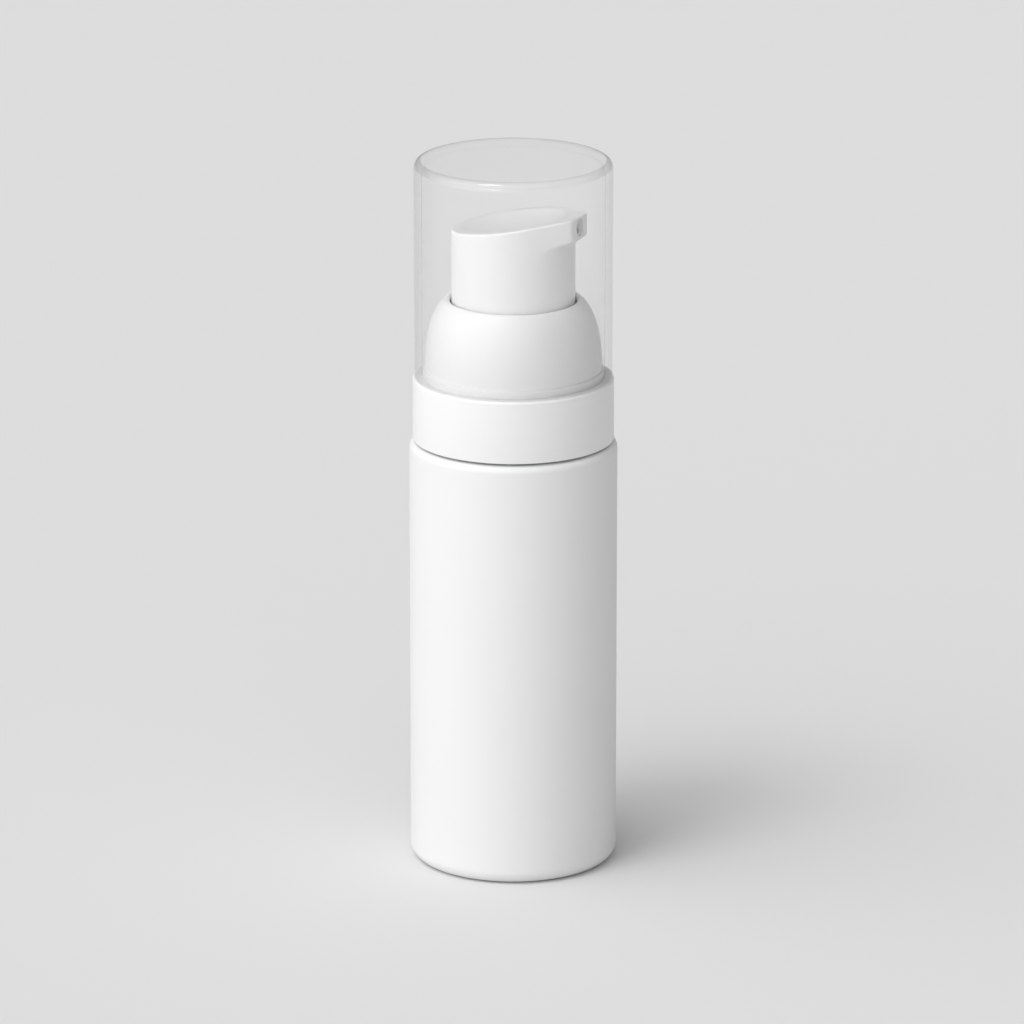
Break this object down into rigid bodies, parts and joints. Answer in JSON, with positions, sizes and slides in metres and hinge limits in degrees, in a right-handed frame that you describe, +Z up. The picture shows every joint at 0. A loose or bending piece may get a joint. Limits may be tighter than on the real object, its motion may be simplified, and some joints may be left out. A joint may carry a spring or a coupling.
{
  "type": "airless pump bottle",
  "caption": "Cylindrical airless bottle with a spring-return lotion pump, a bell-shaped shroud and a clear overcap.",
  "frame": {"origin": "middle of the foot, on the surface that the bottle stands on", "axes": "+Z up along the bottle's axis; +X towards the spout; +Y completes a right-handed frame"},
  "size_m": [0.035, 0.035, 0.1217],
  "materials": {
    "bottle": "matte white with a very fine grain",
    "chamber": "natural polypropylene",
    "soft_piston": "soft natural polyethylene",
    "closure": "white moulded polypropylene",
    "collar": "smooth satin white",
    "shroud": "smooth satin white",
    "head": "smooth satin white",
    "clear_cap": "clear polished plastic",
    "seal": "soft light grey seal",
    "pump_body": "natural polypropylene",
    "stem": "smooth white acetal",
    "steel": "plain stainless steel"
  },
  "bodies": {
    "bottle": {"outer_bottle": "bottle", "inner_chamber": "chamber"},
    "follower": {"follower_piston": "soft_piston"},
    "pump": {"pump_housing": "pump_body", "housing_cap": "pump_body", "stem_seal": "seal", "ball_cage": "pump_body", "neck_gasket": "seal", "return_spring": "steel"},
    "closure": {"closure_nut": "closure", "collar_band": "collar", "shroud": "shroud"},
    "cap": {"overcap": "clear_cap"},
    "stem_group": {"stem": "stem", "stem_head": "stem", "valve_rod": "stem"},
    "head": {"actuator_head": "head", "nozzle_insert": "head"},
    "piston": {"pump_piston": "soft_piston"},
    "ball": {"inlet_ball": "steel"}
  },
  "joints": [
    {"name": "pump_lift", "type": "slide", "parent": "bottle", "child": "pump", "axis": [0, 0, 1], "range_m": [0, 0.0045]},
    {"name": "collar_turn", "type": "hinge", "parent": "pump", "child": "closure", "pos_m": [0, 0, 0.0785], "axis": [0, 0, 1], "range_deg": [0, 540]},
    {"name": "overcap_lift", "type": "slide", "parent": "closure", "child": "cap", "axis": [0, 0, 1], "range_m": [0, 0.035]},
    {"name": "pump_stroke", "type": "slide", "parent": "pump", "child": "stem_group", "axis": [0, 0, -1], "range_m": [0, 0.0055], "stiffness_N_per_m": 1200, "springref_m": -0.004, "deforming": ["return_spring"]},
    {"name": "head_turn", "type": "hinge", "parent": "stem_group", "child": "head", "pos_m": [0, 0, 0.101], "axis": [0, 0, 1], "continuous": true},
    {"name": "piston_lag", "type": "slide", "parent": "stem_group", "child": "piston", "axis": [0, 0, 1], "range_m": [0, 0.0008]},
    {"name": "ball_lift", "type": "slide", "parent": "pump", "child": "ball", "axis": [0, 0, 1], "range_m": [0, 0.001]},
    {"name": "follower_rise", "type": "slide", "parent": "bottle", "child": "follower", "axis": [0, 0, 1], "range_m": [0, 0.0555]}
  ],
  "couplings": [
    {"joint": "pump_lift", "follows": "collar_turn", "m_per_rad": 0.00047746}
  ]
}
